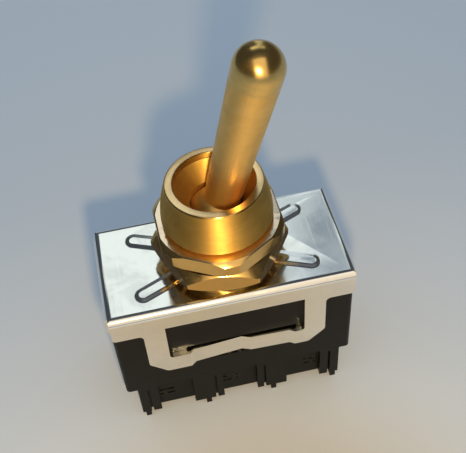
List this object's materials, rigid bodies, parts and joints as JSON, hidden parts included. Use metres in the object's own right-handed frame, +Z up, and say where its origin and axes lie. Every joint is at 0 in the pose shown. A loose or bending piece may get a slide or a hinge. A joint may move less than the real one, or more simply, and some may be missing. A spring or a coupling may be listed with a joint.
{
  "type": "toggle switch",
  "caption": "Panel toggle switch with a bat lever, threaded bushing, hexagon nuts and dress nut, folded steel frame and screw terminals in a moulded housing.",
  "frame": {"origin": "on the axis of the threaded bushing, at the level of the bottom of the housing's fins", "axes": "+Z up along the bushing, +X along the plate towards the side that the lever is thrown to, +Y to the back across the plate"},
  "size_m": [0.0342, 0.0178, 0.0588],
  "materials": {
    "plated_steel": "bright nickel plate on sheet steel",
    "moulded_black": "black moulded bakelite, satin",
    "fibre": "pressed fibre sheet",
    "gold_brass": "turned brass, satin, fine turning marks",
    "nut_brass": "milled brass, lightly tarnished",
    "lever_brass": "polished brass with fine wear",
    "strip_brass": "rolled brass strip",
    "silver_alloy": "silver contact alloy",
    "spring_wire": "drawn spring wire",
    "screw_steel": "zinc plated steel"
  },
  "bodies": {
    "body": {"frame": "plated_steel", "insulator": "fibre", "housing": "moulded_black", "bushing": "gold_brass", "lower_nut": "nut_brass", "upper_nut": "nut_brass", "dress_nut": "gold_brass", "common_terminal": "strip_brass", "left_terminal": "strip_brass", "right_terminal": "strip_brass", "fulcrum": "strip_brass", "fulcrum_rivet": "strip_brass", "left_fixed_contact": "silver_alloy", "right_fixed_contact": "silver_alloy", "clamp_washers": "screw_steel", "terminal_screws": "screw_steel"},
    "lever": {"lever": "lever_brass", "lever_pin": "screw_steel", "plunger_spring": "spring_wire"},
    "plunger": {"plunger": "silver_alloy"},
    "rocker": {"contact_rocker": "strip_brass", "left_rocker_contact": "silver_alloy", "right_rocker_contact": "silver_alloy"}
  },
  "joints": [
    {"name": "lever_tilt", "type": "hinge", "parent": "body", "child": "lever", "pos_m": [0, 0, 0.0331], "axis": [0, 1, 0], "range_deg": [-31.2, 0]},
    {"name": "plunger_slide", "type": "slide", "parent": "lever", "child": "plunger", "axis": [0.2689, 0, 0.9632], "range_m": [0, 0.001], "stiffness_N_per_m": 300, "springref_m": -0.0001, "deforming": ["plunger_spring"]},
    {"name": "rocker_tilt", "type": "hinge", "parent": "body", "child": "rocker", "pos_m": [0, 0, 0.0152], "axis": [0, 1, 0], "range_deg": [0, 16]}
  ],
  "couplings": [
    {"joint": "rocker_tilt", "follows": "lever_tilt", "ratio": -0.51282}
  ]
}
